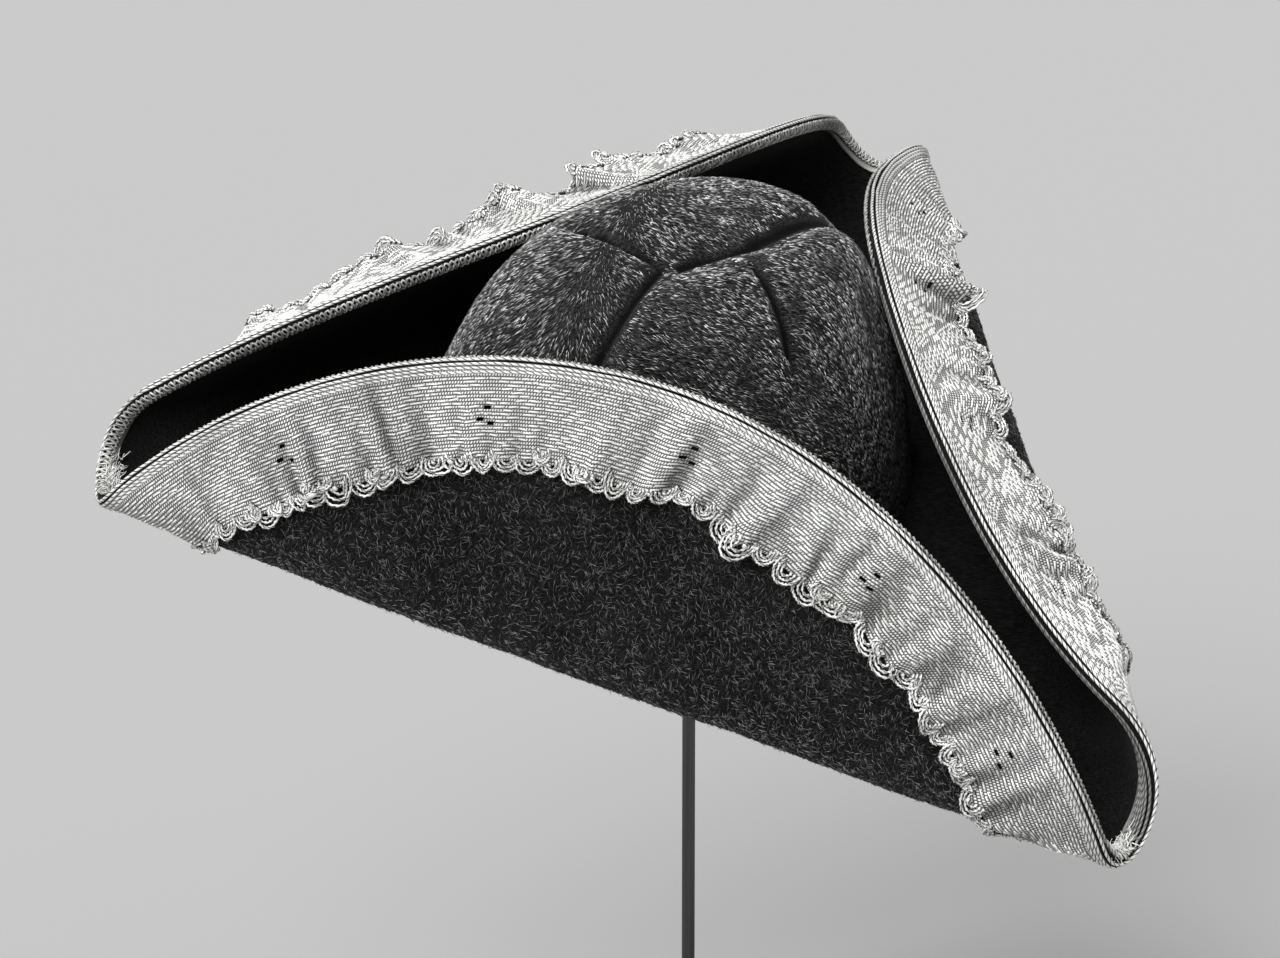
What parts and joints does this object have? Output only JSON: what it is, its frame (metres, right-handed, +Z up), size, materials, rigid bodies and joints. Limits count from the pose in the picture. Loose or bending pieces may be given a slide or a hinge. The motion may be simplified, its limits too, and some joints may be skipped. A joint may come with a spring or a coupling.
{
  "type": "tricorn hat on a plain stand",
  "caption": "Felt hat with a round crown and a brim turned up in three flaps, its edge bound with wide gathered lace, on a round-footed pin stand.",
  "frame": {"origin": "middle of the underside of the stand's round foot, on the rod's axis", "axes": "+Z up along the rod, the front flap towards -Y, the wearer's left tip towards -X"},
  "size_m": [0.3974, 0.3828, 0.3862],
  "materials": {
    "felt": "napped black felt with a long lying pile",
    "lace": "woven silver-thread lace with a picot edge",
    "padding": "plain undyed cloth over padding",
    "steel": "dark polished steel"
  },
  "bodies": {
    "root": {"felt_crown": "felt", "felt_flap_front": "felt", "felt_flap_right": "felt", "felt_flap_back_left": "felt", "lace_band": "lace", "stand_head": "padding", "stand_rod": "steel", "stand_foot": "steel"}
  },
  "joints": []
}
